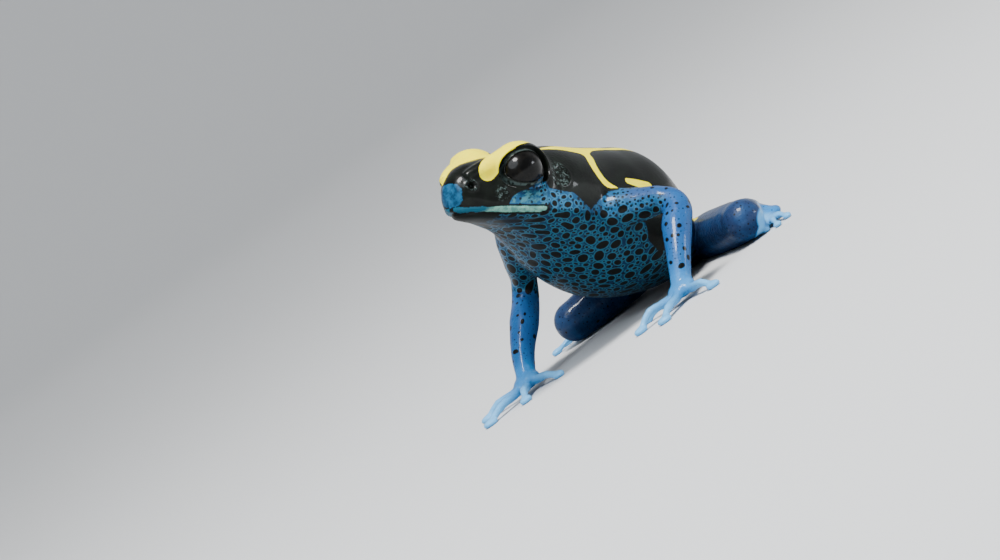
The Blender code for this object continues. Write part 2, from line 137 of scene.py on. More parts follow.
def pose(origin, pitch, lean, yaw=0.0):
    """A frame turned by yaw, whose -Y is raised by pitch and whose +X side is lowered by lean."""
    turn = Matrix.Rotation(yaw, 4, "Z") @ Matrix.Rotation(-pitch, 4, "X") @ Matrix.Rotation(lean, 4, "Y")
    return Matrix.Translation(origin) @ turn


# The solids stand with the middle of their box on the origin, so the frames start from there.
MIDDLE = Vector((-0.1514, 4.5971, 0.0)) * MM
TORSO = pose(Vector((0, 0, SHOULDER_HEIGHT)) - MIDDLE, TORSO_PITCH, TORSO_LEAN, TORSO_YAW)
HEAD = pose(TORSO @ (Vector(NECK) * MM), HEAD_PITCH, HEAD_LEAN, HEAD_YAW)


def mesh_object(name, vertices, faces):
    mesh = bpy.data.meshes.new(name)
    mesh.from_pydata(vertices, [], faces)
    body = bpy.data.objects.new(name, mesh)
    bpy.context.scene.collection.objects.link(body)
    return body


def ring_of(section, place):
    """The points of one cross-section, set in the frame."""
    points = []
    for step in range(RING_POINTS):
        turn = 2 * math.pi * step / RING_POINTS
        across, up = math.cos(turn), math.sin(turn)
        height = section.rise if up > 0 else section.drop
        power = section.power if up > 0 else section.keel
        x = section.half_width * math.copysign(abs(across) ** (2 / power), across)
        z = section.widest + height * math.copysign(abs(up) ** (2 / power), up)
        points.append(place @ (Vector((x, section.y, z)) * MM))
    return points


def between(before, start, end, after, share):
    """A point on the curve from start to end that runs on smoothly to the points before and after."""
    linear = end - before
    square = 2 * before - 5 * start + 4 * end - after
    cube = 3 * start - before - 3 * end + after
    return start + 0.5 * share * (linear + share * (square + share * cube))


def loft(name, rings):
    """A closed skin over key rings, smooth between them."""
    last = len(rings) - 1
    smooth = []
    for index in range(last):
        before, after = rings[max(index - 1, 0)], rings[min(index + 2, last)]
        for step in range(RINGS_BETWEEN):
            share = step / RINGS_BETWEEN
            smooth.append(
                [between(*corners, share) for corners in zip(before, rings[index], rings[index + 1], after)]
            )
    smooth.append(rings[last])
    count = len(rings[0])
    vertices = [point for ring in smooth for point in ring]
    faces = []
    for row in range(len(smooth) - 1):
        for step in range(count):
            a, b = row * count + step, row * count + (step + 1) % count
            faces.append((a, b, b + count, a + count))
    faces.append(tuple(range(count))[::-1])
    faces.append(tuple(range((len(smooth) - 1) * count, len(smooth) * count)))
    return mesh_object(name, vertices, faces)


def ball(name, centre, radii, place=Matrix.Identity(4), sides=48):
    """An ellipsoid in a frame."""
    bpy.ops.mesh.primitive_uv_sphere_add(segments=sides, ring_count=sides // 2, radius=1)
    body = bpy.context.object
    body.name = name
    matrix = place @ Matrix.Translation(centre) @ Matrix.Diagonal((*radii, 1))
    body.data.transform(matrix)
    if matrix.determinant() < 0:
        body.data.flip_normals()
    return body


def tube(name, points, radii, sides=8, steps=16):
    """A tapered tube with a rounded route, from points and radii in metres, as a mesh."""
    curve = bpy.data.curves.new(name, "CURVE")
    curve.dimensions = "3D"
    curve.bevel_depth = MM
    curve.bevel_resolution = sides
    curve.resolution_u = steps
    curve.use_fill_caps = True
    spline = curve.splines.new("BEZIER")
    spline.bezier_points.add(len(points) - 1)
    for knot, point, radius in zip(spline.bezier_points, points, radii):
        knot.co = point
        knot.radius = radius / MM
        knot.handle_left_type = knot.handle_right_type = "AUTO"
    guide = bpy.data.objects.new(name, curve)
    bpy.context.scene.collection.objects.link(guide)
    bpy.context.view_layer.update()
    mesh = bpy.data.meshes.new_from_object(guide.evaluated_get(bpy.context.evaluated_depsgraph_get()))
    bpy.data.objects.remove(guide)
    made = bmesh.new()
    made.from_mesh(mesh)
    bmesh.ops.remove_doubles(made, verts=made.verts, dist=0.001 * MM)
    made.to_mesh(mesh)
    made.free()
    body = bpy.data.objects.new(name, mesh)
    bpy.context.scene.collection.objects.link(body)
    return body


def joined(name, bodies):
    """One object that holds all the pieces' meshes."""
    made = bmesh.new()
    for body in bodies:
        made.from_mesh(body.data)
        bpy.data.objects.remove(body)
    mesh = bpy.data.meshes.new(name)
    made.to_mesh(mesh)
    made.free()
    whole = bpy.data.objects.new(name, mesh)
    bpy.context.scene.collection.objects.link(whole)
    return whole


def millimetres(values):
    return Vector(values) * MM


def standing(values):
    """A limb's joint, from millimetres on the floor that the frog was posed on."""
    return millimetres(values) - MIDDLE


def ahead(heading):
    """The level direction at a heading, in degrees from straight ahead towards the left."""
    return Vector((math.sin(math.radians(heading)), -math.cos(math.radians(heading)), 0))


def digits(palm, items, thick):
    """Fingers or toes: each a tube that arches from the palm and ends in a flat disc."""
    pieces = []
    for item in items:
        way = ahead(item.heading)
        length = item.length * MM
        tip = palm + way * length
        tip.z = TIP_LEVEL * MM
        knuckle = palm + way * length * KNUCKLE_AT
        knuckle.z = palm.z * 0.75
        middle = palm + way * length * ARCH_AT
        middle.z = item.arch * MM
        widths = [thick * 1.25, thick, thick * 0.85, thick * 0.7]
        pieces.append(tube("digit", [palm, knuckle, middle, tip], widths))
        pieces.append(ball("joint", middle, Vector((1, 1, 1)) * thick * 0.98, sides=24))
        turn = Matrix.Rotation(math.atan2(way.y, way.x), 4, "Z")
        radii = Vector((item.disc * 0.56, item.disc * 0.5, 0.42)) * MM
        pieces.append(ball("disc", Vector((0, 0, 0)), radii, Matrix.Translation(tip) @ turn))
    return pieces


def arm_pieces(side):
    arm = ARMS[side]
    shoulder = TORSO @ millimetres(arm.shoulder)
    elbow, wrist, palm = (standing(place) for place in arm[1:])
    points = [
        shoulder.lerp(elbow, -0.3), shoulder.lerp(elbow, 0.1), shoulder.lerp(elbow, 0.45),
        shoulder.lerp(elbow, 0.82), elbow.lerp(wrist, 0.1), elbow.lerp(wrist, 0.45),
        elbow.lerp(wrist, 0.85), palm,
    ]
    pieces = [tube("arm", points, [width * MM for width in ARM_WIDTHS])]
    pieces.append(ball("palm", palm, Vector((1.6, 1.6, 0.9)) * MM))
    return pieces + digits(palm, HANDS[side], FINGER * MM)


def leg_pieces(side):
    leg = LEGS[side]
    hip = TORSO @ millimetres(leg.hip)
    knee, heel, sole = (standing(place) for place in leg[1:])
    route = [hip.lerp(knee, -0.12), hip.lerp(knee, 0.1), hip.lerp(knee, 0.4), hip.lerp(knee, 0.85), knee]
    widths = [width * MM for width in THIGH_WIDTHS]
    pieces = [tube("thigh", route, widths), ball("knee", knee, Vector((2.3, 2.3, 2.3)) * MM)]
    route = [knee.lerp(heel, 0.1), knee.lerp(heel, 0.4), knee.lerp(heel, 0.8), heel]
    widths = [width * MM for width in SHANK_WIDTHS]
    pieces += [tube("shank", route, widths), ball("heel", heel, Vector((1.45, 1.45, 1.4)) * MM)]
    route = [heel, heel.lerp(sole, 0.5), sole]
    pieces.append(tube("tarsus", route, [width * MM for width in TARSUS_WIDTHS]))
    pieces.append(ball("sole", sole, Vector((1.7, 1.7, 0.8)) * MM))
    return pieces + digits(sole, FEET[side], TOE * MM)


def side_frame(side):
    return HEAD @ Matrix.Diagonal((1 if side == "left" else -1, 1, 1, 1))


def rough_skin():
    """All the flesh as one closed skin."""
    rings = [ring_of(section, HEAD) for section in HEAD_SECTIONS]
    rings += [ring_of(section, TORSO) for section in TORSO_SECTIONS]
    pieces = [loft("hull", rings)]
    for side in ("left", "right"):
        pieces.append(ball("brow", BROW_CENTRE * MM, BROW_RADII * MM, side_frame(side)))
        pieces.append(ball("lid", EYE_CENTRE * MM, Vector((1, 1, 1)) * LID_RADIUS * MM, side_frame(side)))
        route = [side_frame(side) @ millimetres(place) for *place, radius in RIDGE]
        pieces.append(tube("ridge", route, [radius * MM for *place, radius in RIDGE]))
        pieces += arm_pieces(side) + leg_pieces(side)
    whole = joined("skin", pieces)
    remesh = whole.modifiers.new("fuse", "REMESH")
    remesh.mode = "VOXEL"
    remesh.voxel_size = SKIN_VOXEL
    bpy.context.view_layer.update()
    mesh = bpy.data.meshes.new_from_object(whole.evaluated_get(bpy.context.evaluated_depsgraph_get()))
    whole.modifiers.clear()
    whole.data = mesh
    return whole


class Clay:
    """The points of a mesh, to be softened, pushed and pulled."""

    def __init__(self, body):
        self.mesh = body.data
        count = len(self.mesh.vertices)
        self.points = np.empty(count * 3, np.float32)
        self.mesh.vertices.foreach_get("co", self.points)
        self.points = self.points.reshape(-1, 3).astype(float)
        edges = np.empty(len(self.mesh.edges) * 2, np.int32)
        self.mesh.edges.foreach_get("vertices", edges)
        self.ends = edges.reshape(-1, 2)
        self.links = np.bincount(self.ends.ravel(), minlength=count)

    def store(self):
        self.mesh.vertices.foreach_set("co", self.points.astype(np.float32).ravel())
        self.mesh.update()

    def normals(self):
        self.store()
        normals = np.empty(len(self.points) * 3, np.float32)
        self.mesh.vertex_normals.foreach_get("vector", normals)
        return normals.reshape(-1, 3).astype(float)

    def towards_neighbours(self):
        """For each point, the way to the middle of its neighbours."""
        total = np.empty_like(self.points)
        a, b = self.ends.T
        for axis in range(3):
            value = self.points[:, axis]
            total[:, axis] = np.bincount(a, value[b], len(value)) + np.bincount(b, value[a], len(value))
        return total / self.links[:, None] - self.points

    def soften(self, rounds, hollows=0.5, bumps=0.5, where=1.0):
        """Smooth the skin; creases fill by one share and ridges sink by the other."""
        for step in range(rounds):
            if step % 4 == 0:
                normals = self.normals()
            way = self.towards_neighbours()
            hollow = (way * normals).sum(1) > 0
            self.points += way * (np.where(hollow, hollows, bumps) * where)[:, None]

    def within(self, place):
        """The points in a frame's own millimetres."""
        turn = np.array(place.inverted())
        return (self.points @ turn[:3, :3].T + turn[:3, 3]) / MM

    def swell(self, amount):
        """Move each point outward by its own amount in millimetres."""
        self.points += self.normals() * (amount * MM)[:, None]


def step_up(low, high, value):
    share = np.clip((value - low) / (high - low), 0, 1)
    return share * share * (3 - 2 * share)


def hill(value, width):
    return np.exp(-((value / width) ** 2))


def mirrored(local):
    """The points with the right side laid over the left."""
    return local * np.where(local[:, :1] < 0, [[-1, 1, 1]], 1)


def eye_frame(side):
    """The frame of an eye: its origin at the ball's centre, Z outward and X along the head."""
    sign = 1 if side == "left" else -1
    outward = Vector((EYE_FACING.x * sign, EYE_FACING.y, EYE_FACING.z))
    across = Vector((0, 0, 1)).cross(outward).normalized()
    turn = Matrix((across, outward.cross(across), outward)).transposed().to_4x4()
    centre = Vector((EYE_CENTRE.x * sign, EYE_CENTRE.y, EYE_CENTRE.z)) * MM
    return HEAD @ Matrix.Translation(centre) @ turn @ Matrix.Rotation(LID_TILT * sign, 4, "Z")


def open_lids(clay):
    """Draw the lids over each eyeball and hollow the skin behind the ball's open part."""
    openness = np.full(len(clay.points), 9.0)
    for side in ("left", "right"):
        place = eye_frame(side)
        local = clay.within(place)
        around = np.hypot(local[:, 0] / LID_OPENING[0], local[:, 1] / LID_OPENING[1])
        flat = np.hypot(local[:, 0], local[:, 1])
        near = (local[:, 2] > -0.4) & (around < 2.0)
        on_ball = np.sqrt(np.clip(EYE_RADIUS**2 - flat**2, 0.0, None))
        height = local[:, 2].copy()
        lid = on_ball + 0.1 + 0.07 * hill(around - 1.08, 0.07)
        cover = near & (around >= 1.0)
        drape = step_up(1.42, 1.12, around)
        height[cover] += ((lid - local[:, 2]) * drape)[cover]
        inside = near & (around < 1.0)
        height[inside] = (on_ball - 0.12 - 0.9 * step_up(1.0, 0.8, around))[inside]
        shift = np.zeros_like(local)
        shift[:, 2] = (height - local[:, 2]) * MM
        clay.points += shift @ np.array(place)[:3, :3].T
        openness = np.where(near, np.minimum(openness, around), openness)
    return openness


def above_mouth(local):
    """How far each point of the head lies above the mouth's line, which rises to its corners."""
    return local[:, 2] - MOUTH_LEVEL - 0.05 * np.clip(local[:, 1] + 14.5, 0, 9)


def carve_head(clay):
    """The mouth and lips, nostrils, ear drums, and the hollow between eye and nostril."""
    local = mirrored(clay.within(HEAD))
    ahead_of_corner = step_up(MOUTH_CORNER + 0.5, MOUTH_CORNER - 0.6, local[:, 1])
    level = above_mouth(local)
    mouth = -0.3 * hill(level, 0.13) + 0.1 * hill(level - 0.36, 0.26) + 0.07 * hill(level + 0.36, 0.24)
    amount = mouth * ahead_of_corner * (local[:, 2] < 1.5)
    to_nostril = np.linalg.norm((local - np.array(NOSTRIL)) / [1.0, 1.25, 1.0], axis=1)
    amount += 0.08 * hill(to_nostril - 0.5, 0.18) - 0.45 * hill(to_nostril, 0.24)
    to_ear = np.linalg.norm((local - np.array(EAR_CENTRE)) / [1, 0.85, 1.1], axis=1)
    amount += 0.05 * hill(to_ear - EAR_RADIUS, 0.22)
    amount -= 0.08 * step_up(EAR_RADIUS, EAR_RADIUS - 0.6, to_ear)
    to_hollow = np.linalg.norm((local - HOLLOW_CENTRE) / HOLLOW_RADII, axis=1)
    amount -= 0.14 * hill(to_hollow, 0.9)
    clay.swell(amount)


FOLD_HEIGHT, FOLD_WIDTH = 0.035, 1.15


def fold_skin(clay):
    """Shallow folds across the throat and chest."""
    torso = clay.within(TORSO)
    x, y, z = torso.T
    along = y + 0.5 * z + 0.25 * np.sin(x * 0.9)
    throat = step_up(-9.5, -6.5, y) * step_up(2.5, -0.5, y)
    throat = throat * step_up(1.0, -1.5, z) * step_up(6.5, 4.5, np.abs(x))
    clay.swell(FOLD_HEIGHT * throat * np.sin(along * 2 * math.pi / FOLD_WIDTH))


# Markings are strokes of a round brush over the skin: points x, y, z and the brush's radius, in
# millimetres in the head's or torso's frame.
SNOUT_BAND = [(-1.8, -15.1, 0.1, 0.4), (-1.6, -14.7, 1.0, 0.65), (-2.05, -13.7, 1.95, 0.9),
              (-2.6, -12.4, 2.9, 1.2)]
LOBE = [(3.3, -11.6, 2.5, 0.95), (3.1, -12.3, 1.75, 1.05), (3.05, -12.7, 1.2, 1.05)]
LID_BAND = [(3.4, -11.3, 3.1, 0.85), (3.3, -10.1, 4.2, 1.3), (3.3, -8.9, 4.8, 1.45), (3.2, -7.9, 4.8, 1.2)]
FAR_LID_BAND = [(-2.6, -12.4, 2.9, 1.2), (-3.0, -11.0, 4.0, 1.6), (-3.0, -9.6, 4.7, 1.75),
                (-3.0, -8.1, 4.9, 1.5)]
FAR_INNER_BAND = [(-1.9, -12.8, 2.5, 0.6), (-2.0, -11.5, 3.2, 0.8), (-1.8, -10.4, 3.6, 0.8),
                  (-1.4, -9.2, 3.9, 0.8)]
BRIDGE = [(-2.2, -8.6, 4.0, 0.8), (-1.1, -8.5, 3.8, 0.8), (0.2, -9.3, 3.8, 0.7), (1.9, -10.8, 3.7, 0.7),
          (2.9, -11.9, 2.9, 0.6)]
HEAD_STROKES = [SNOUT_BAND, LOBE, LID_BAND, FAR_LID_BAND, FAR_INNER_BAND, BRIDGE]
BAND = [(2.6, -5.4, 6.75, 0.35), (3.1, -3.6, 6.8, 0.6), (3.45, -1.2, 6.75, 1.05), (3.6, 0.4, 6.65, 1.2),
        (3.5, 2.6, 7.1, 0.75), (3.5, 6.0, 7.3, 0.6), (3.9, 9.3, 7.0, 0.5), (4.9, 11.2, 6.0, 0.4),
        (6.2, 12.6, 4.4, 0.3), (6.6, 13.8, 2.6, 0.3), (6.2, 15.6, 0.7, 0.5), (5.2, 18.2, -1.3, 0.6),
        (3.9, 20.8, -2.6, 0.5)]
BRANCH = [(4.2, 0.3, 6.0, 0.75), (4.9, 0.1, 5.3, 0.55), (5.5, -0.45, 4.4, 0.52), (6.0, -0.65, 3.6, 0.5),
          (6.4, -0.5, 2.6, 0.48), (6.7, 0.0, 1.9, 0.45), (6.95, 0.9, 1.45, 0.3)]
PATCH = [(7.0, 3.4, 2.35, 0.4), (7.4, 4.7, 2.1, 0.5), (7.8, 6.2, 1.9, 0.45)]
TORSO_STROKES = [BAND, BRANCH, PATCH]
# The pale line kept between two black blotches, in millimetres.
BLOTCH_GAP = 0.2
# How far round a stroke its distance is worked out, in millimetres.
STROKE_REACH = 3.5
# Long black marks under the jaw, drawn on both sides.
JAW_MARKS = [
    [(1.3, -9.4, -3.6, 0.6), (2.0, -8.2, -3.6, 0.75), (2.3, -7.6, -3.6, 0.6)],
    [(3.1, -6.6, -3.5, 0.62), (3.9, -5.8, -3.4, 0.55)],
    [(5.5, -4.9, -2.8, 0.42), (5.9, -4.1, -2.8, 0.46)],
    [(5.0, -3.4, -3.65, 0.36), (5.1, -2.6, -3.9, 0.42)],
    [(0.4, -6.2, -3.95, 0.5), (1.3, -5.5, -3.95, 0.5)],
    [(2.3, -5.2, -3.8, 0.4), (3.0, -4.6, -3.8, 0.42)],
    [(2.0, -4.0, -4.2, 0.45), (2.6, -3.5, -4.2, 0.4)],
]


def rounded(stroke, steps=4):
    """A stroke with more points, so that it bends smoothly."""
    points = np.array([stroke[0], *stroke, stroke[-1]], float)
    path = []
    for a, b, c, d in zip(points, points[1:], points[2:], points[3:]):
        for step in range(steps):
            t = step / steps
            path.append(between(a, b, c, d, t))
    path.append(points[-1])
    return np.array(path)


def stroke_distance(local, stroke):
    """How far each point lies outside a brush stroke, in millimetres; only those near it are worked out."""
    stroke = rounded(stroke)
    low, high = stroke[:, :3].min(0) - STROKE_REACH, stroke[:, :3].max(0) + STROKE_REACH
    near = np.flatnonzero(np.all((local > low) & (local < high), axis=1))
    nearest = np.full(len(local), FAR_AWAY)
    part = local[near]
    for start, end in zip(stroke, stroke[1:]):
        a, b = start[:3], end[:3]
        along = np.clip((part - a) @ (b - a) / max((b - a) @ (b - a), 1e-9), 0, 1)
        radius = start[3] + along * (end[3] - start[3])
        away = np.linalg.norm(part - a - along[:, None] * (b - a), axis=1) - radius
        nearest[near] = np.minimum(nearest[near], away)
    return nearest


def merged(one, other, soft):
    """The lesser of two distances, rounded where they cross."""
    share = np.clip(0.5 + 0.5 * (other - one) / soft, 0, 1)
    return other * (1 - share) + one * share - soft * share * (1 - share)


def yellow_field(clay):
    """How far inside the yellow bands each point lies, in millimetres."""
    head, torso = clay.within(HEAD), clay.within(TORSO)
    field = np.full(len(head), FAR_AWAY)
    for stroke in HEAD_STROKES:
        field = merged(field, stroke_distance(head, stroke), 0.5)
    for stroke in TORSO_STROKES:
        field = merged(field, stroke_distance(torso, stroke), 0.5)
        field = merged(field, stroke_distance(torso * [-1, 1, 1], stroke), 0.5)
    return -field


# The level below which the side of the head is blue, at places from snout to neck.
CHEEK_LINE = [(-16.0, -9.0), (-10.9, -9.0), (-10.7, -2.3), (-10.3, -1.4), (-9.6, -0.8), (-8.8, -0.45),
              (-8.1, 0.25), (-7.7, 1.2), (-7.4, 1.1), (-6.6, 0.3), (-6.2, -0.2), (-4.9, -0.4), (-3.4, -0.5),
              (-2.6, -1.1), (-1.7, -1.8), (-1.2, -2.1)]
# The same for the torso's sides, from the neck to the rump.
FLANK_LINE = [(-4.0, -1.2), (-3.3, -0.9), (-2.8, -0.4), (-1.8, 0.3), (-0.6, 1.0), (1.5, 1.3), (3.2, 0.2),
              (3.8, -1.5), (5.0, -4.0), (7.0, -5.0), (12.0, -4.6), (20.0, -3.2), (28.0, -2.4)]


def along_limb(points, route):
    """How far each point is from a limb's line, and the share of the way along it."""
    away = np.full(len(points), FAR_AWAY)
    share = np.zeros(len(points))
    for index, (start, end) in enumerate(zip(route, route[1:])):
        a, b = np.array(start), np.array(end)
        along = np.clip((points - a) @ (b - a) / ((b - a) @ (b - a)), 0, 1)
        gap = np.linalg.norm(points - a - along[:, None] * (b - a), axis=1) / MM
        nearer = gap < away
        away = np.where(nearer, gap, away)
        share = np.where(nearer, index + along, share)
    return away, share


def reach_of_digits(points, root, items, start):
    """How far out on fingers or toes each point lies, from the start's value to one more."""
    reach = np.zeros(len(points))
    root = standing(root)
    near = np.flatnonzero(np.linalg.norm(points - np.array(root), axis=1) < 9.5 * MM)
    for item in items:
        tip = root + ahead(item.heading) * item.length * MM
        away, share = along_limb(points[near], [root, tip])
        on_digit = step_up(2.0, 1.5, away)
        reach[near] = np.maximum(reach[near], on_digit * (start + share) * (share > 0.02))
    return reach


def blue_field(clay, normals):
    """How far inside the blue skin each point lies, how plain it is, and how far out on a limb."""
    head, torso = mirrored(clay.within(HEAD)), mirrored(clay.within(TORSO))
    cheek = np.interp(head[:, 1], *zip(*CHEEK_LINE)) - head[:, 2]
    flank = np.interp(torso[:, 1], *zip(*FLANK_LINE)) - torso[:, 2]
    throat = np.minimum(-3.4 - head[:, 2], head[:, 1] + 9.5)
    trunk = np.where(head[:, 1] < -1.4, np.maximum(np.minimum(cheek, 6 + torso[:, 2]), throat), flank)
    limbs = np.full(len(head), FAR_AWAY)
    plain, reach = np.zeros(len(head)), np.zeros(len(head))
    up = normals @ (np.array(TORSO.to_3x3()) @ [0, 0, 1.0])
    for side in ("left", "right"):
        arm, leg = ARMS[side], LEGS[side]
        shoulder, hip = TORSO @ millimetres(arm.shoulder), TORSO @ millimetres(leg.hip)
        route = [shoulder, *(standing(place) for place in arm[1:])]
        away, share = along_limb(clay.points, route)
        hand = np.linalg.norm((clay.points - np.array(standing(arm.palm))) / MM, axis=1)
        inside = np.minimum(away - 2.3 + step_up(0.35, 0.0, share) * 0.6, hand - 9.5)
        top = step_up(-0.1, 0.55, up) * step_up(0.12, 0.5, share)
        smooth = np.maximum(top, step_up(0.75, 1.3, share))
        plain = np.where(inside < 0.3, np.maximum(plain, smooth * step_up(0.3, -0.3, inside)), plain)
        reach = np.where(inside < 0.3, np.maximum(reach, np.minimum(share / 3, 1)), reach)
        reach = np.maximum(reach, reach_of_digits(clay.points, arm.palm, HANDS[side], 1.0))
        limbs = np.minimum(limbs, inside)
        route = [hip.lerp(standing(leg.knee), 0.12), *(standing(place) for place in leg[1:])]
        away, share = along_limb(clay.points, route)
        foot = np.linalg.norm((clay.points - np.array(standing(leg.ball))) / MM, axis=1)
        inside = np.minimum(away - 3.0, foot - 9.0)
        plain = np.where(inside < 0.3, np.maximum(plain, step_up(0.4, -0.4, inside)), plain)
        reach = np.where(inside < 0.3, np.maximum(reach, step_up(1.7, 3.0, share) * 0.55), reach)
        reach = np.maximum(reach, reach_of_digits(clay.points, leg.ball, FEET[side], 0.55))
        limbs = np.minimum(limbs, inside)
    return np.maximum(trunk, -limbs), plain, reach


def blotch_field(clay, normals, groups, field=None):
    """How far inside a black blotch each point lies, in millimetres.

    Each group says where, how many tries, the least and largest radius, the strongest squash and
    the draw's seed.
    """
    if field is None:
        field = np.full(len(clay.points), -9.0)
    points = clay.points / MM
    order = np.argsort(points[:, 1])
    along = points[order, 1]
    for where, tries, small, large, stretch, seed in groups:
        dice = np.random.default_rng(seed)
        for index in dice.choice(np.flatnonzero(where), tries):
            squash = dice.uniform(stretch, 1.0)
            room = (-field[index] - BLOTCH_GAP) * squash * 1.1
            radius = min(dice.uniform(small, large), room)
            lie = dice.normal(size=3) + [0, 0, 1.6]
            if radius < small:
                continue
            centre = points[index]
            way = np.cross(normals[index], lie)
            way /= np.linalg.norm(way)
            low, high = np.searchsorted(along, [centre[1] - 2.0, centre[1] + 2.0])
            near = order[low:high]
            offset = points[near] - centre
            lengthwise = offset @ way
            away = np.sqrt(np.clip((offset**2).sum(1) - (1 - squash**2) * lengthwise**2, 0, None))
            field[near] = np.maximum(field[near], radius - away)
    return field


def attribute(mesh, name, values):
    layer = mesh.attributes.new(name, "FLOAT", "POINT")
    layer.data.foreach_set("value", np.asarray(values, np.float32))


class Wire:
    """A shader value that can be used in sums."""

    def __init__(self, finish, socket):
        self.finish = finish
        self.socket = socket

    def math(self, operation, *values):
        node = self.finish.tree.nodes.new("ShaderNodeMath")
        node.operation = operation
        for slot, value in zip(node.inputs, (self, *values)):
            self.finish.feed(slot, value)
        return Wire(self.finish, node.outputs[0])

    def __add__(self, other):
        return self.math("ADD", other)

    __radd__ = __add__

    def __sub__(self, other):
        return self.math("SUBTRACT", other)

    def __rsub__(self, other):
        return self.math("MULTIPLY_ADD", -1.0, other)

    def __mul__(self, other):
        return self.math("MULTIPLY", other)

    def between(self, low, high):
        """0 below the low value and 1 above the high one, smooth between them."""
        node = self.finish.tree.nodes.new("ShaderNodeMapRange")
        node.interpolation_type = "SMOOTHSTEP"
        for slot, value in zip(node.inputs, (self, low, high, 0.0, 1.0)):
            self.finish.feed(slot, value)
        return Wire(self.finish, node.outputs[0])


class Finish:
    """A material under construction, around one Principled shader."""

    def __init__(self, name, **constants):
        self.material = bpy.data.materials.new(name)
        self.material.use_nodes = True
        self.tree = self.material.node_tree
        self.shader = self.tree.nodes["Principled BSDF"]
        self.set(**constants)

    def set(self, **values):
        for name, value in values.items():
            self.feed(self.shader.inputs[name.replace("_", " ")], value)

    def feed(self, slot, value):
        if isinstance(value, Wire):
            self.tree.links.new(value.socket, slot)
        elif slot.type == "RGBA":
            slot.default_value = (*value, 1.0)
        else:
            slot.default_value = value

    def node(self, kind, settings=None, values=None, out=0):
        """Any other node, from its type, its settings, and the values or links of its sockets."""
        node = self.tree.nodes.new(kind)
        for name, value in (settings or {}).items():
            setattr(node, name, value)
        for name, value in (values or {}).items():
            self.feed(node.inputs[name], value)
        return Wire(self, node.outputs[out])

    def place(self, stretch=(1, 1, 1)):
        spot = self.node("ShaderNodeTexCoord", out="Object")
        return self.node("ShaderNodeVectorMath", {"operation": "MULTIPLY"}, {0: spot, 1: stretch})

    def mark(self, name):
        return self.node("ShaderNodeAttribute", {"attribute_name": name}, out="Fac")

    def noise(self, size, detail=3.0, roughness=0.5, stretch=(1, 1, 1)):
        """Cloudy noise, of a size in millimetres."""
        values = {"Vector": self.place(stretch), "Scale": 1000 / size}
        values.update(Detail=detail, Roughness=roughness)
        return self.node("ShaderNodeTexNoise", values=values)

    def cells(self, size, **settings):
        """Distances in a pattern of cells, of a size in millimetres."""
        values = {"Vector": self.place(), "Scale": 1000 / size}
        return self.node("ShaderNodeTexVoronoi", settings, values, "Distance")

    def mix(self, share, low, high):
        node = self.tree.nodes.new("ShaderNodeMix")
        node.data_type = "RGBA"
        self.feed(node.inputs[0], share)
        self.feed(node.inputs[6], low)
        self.feed(node.inputs[7], high)
        return Wire(self, node.outputs[2])

    def bump(self, height, depth):
        """A normal from a height, where 1 stands for a depth in millimetres."""
        values = {"Height": height, "Strength": 1.0, "Distance": depth * MM}
        return self.node("ShaderNodeBump", values=values)


BLACK = (0.0018, 0.0024, 0.0018)
SOOT = (0.0045, 0.0065, 0.0045)
# A grey for painted highlights: glints on the grainy skin and along the lids' rim.
GLINT_GREY = (0.07, 0.1, 0.095)
YELLOW = (1.0, 0.82, 0.0)
LEMON = (1.0, 0.9, 0.01)
# Painted shade: each net blue comes as a lit copy for faces turned up and a darker shaded copy for faces
# turned down.
NET_BLUE_LIT, NET_PALE_LIT = (0.01, 0.08, 0.19), (0.045, 0.22, 0.4)
NET_BLUE_SHADED, NET_PALE_SHADED = (0.0018, 0.02, 0.055), (0.026, 0.125, 0.2)
UPPER_ARM, FOREARM = (0.026, 0.066, 0.18), (0.013, 0.076, 0.24)
HAND, TIP = (0.022, 0.18, 0.46), (0.14, 0.44, 0.78)
# Painted shade: the thigh's lit top and its darker shaded underside.
THIGH_SHADED, THIGH_LIT = (0.002, 0.019, 0.07), (0.014, 0.03, 0.085)
SNOUT, SNOUT_PALE = (0.003, 0.036, 0.085), (0.013, 0.1, 0.21)
LIP, LIP_GREY, LIP_BLUE = (0.17, 0.4, 0.32), (0.08, 0.23, 0.2), (0.008, 0.085, 0.14)
SHADOW = (0.001, 0.006, 0.014)
STREAK = (0.06, 0.22, 0.26)
PUPIL_BLACK = (0.0003, 0.0003, 0.0003)
IRIS, IRIS_BROWN = (0.0006, 0.0006, 0.0006), (0.005, 0.0042, 0.003)
PAPER, PAPER_GLOW = (0.6, 0.61, 0.62), (0.17, 0.175, 0.18)


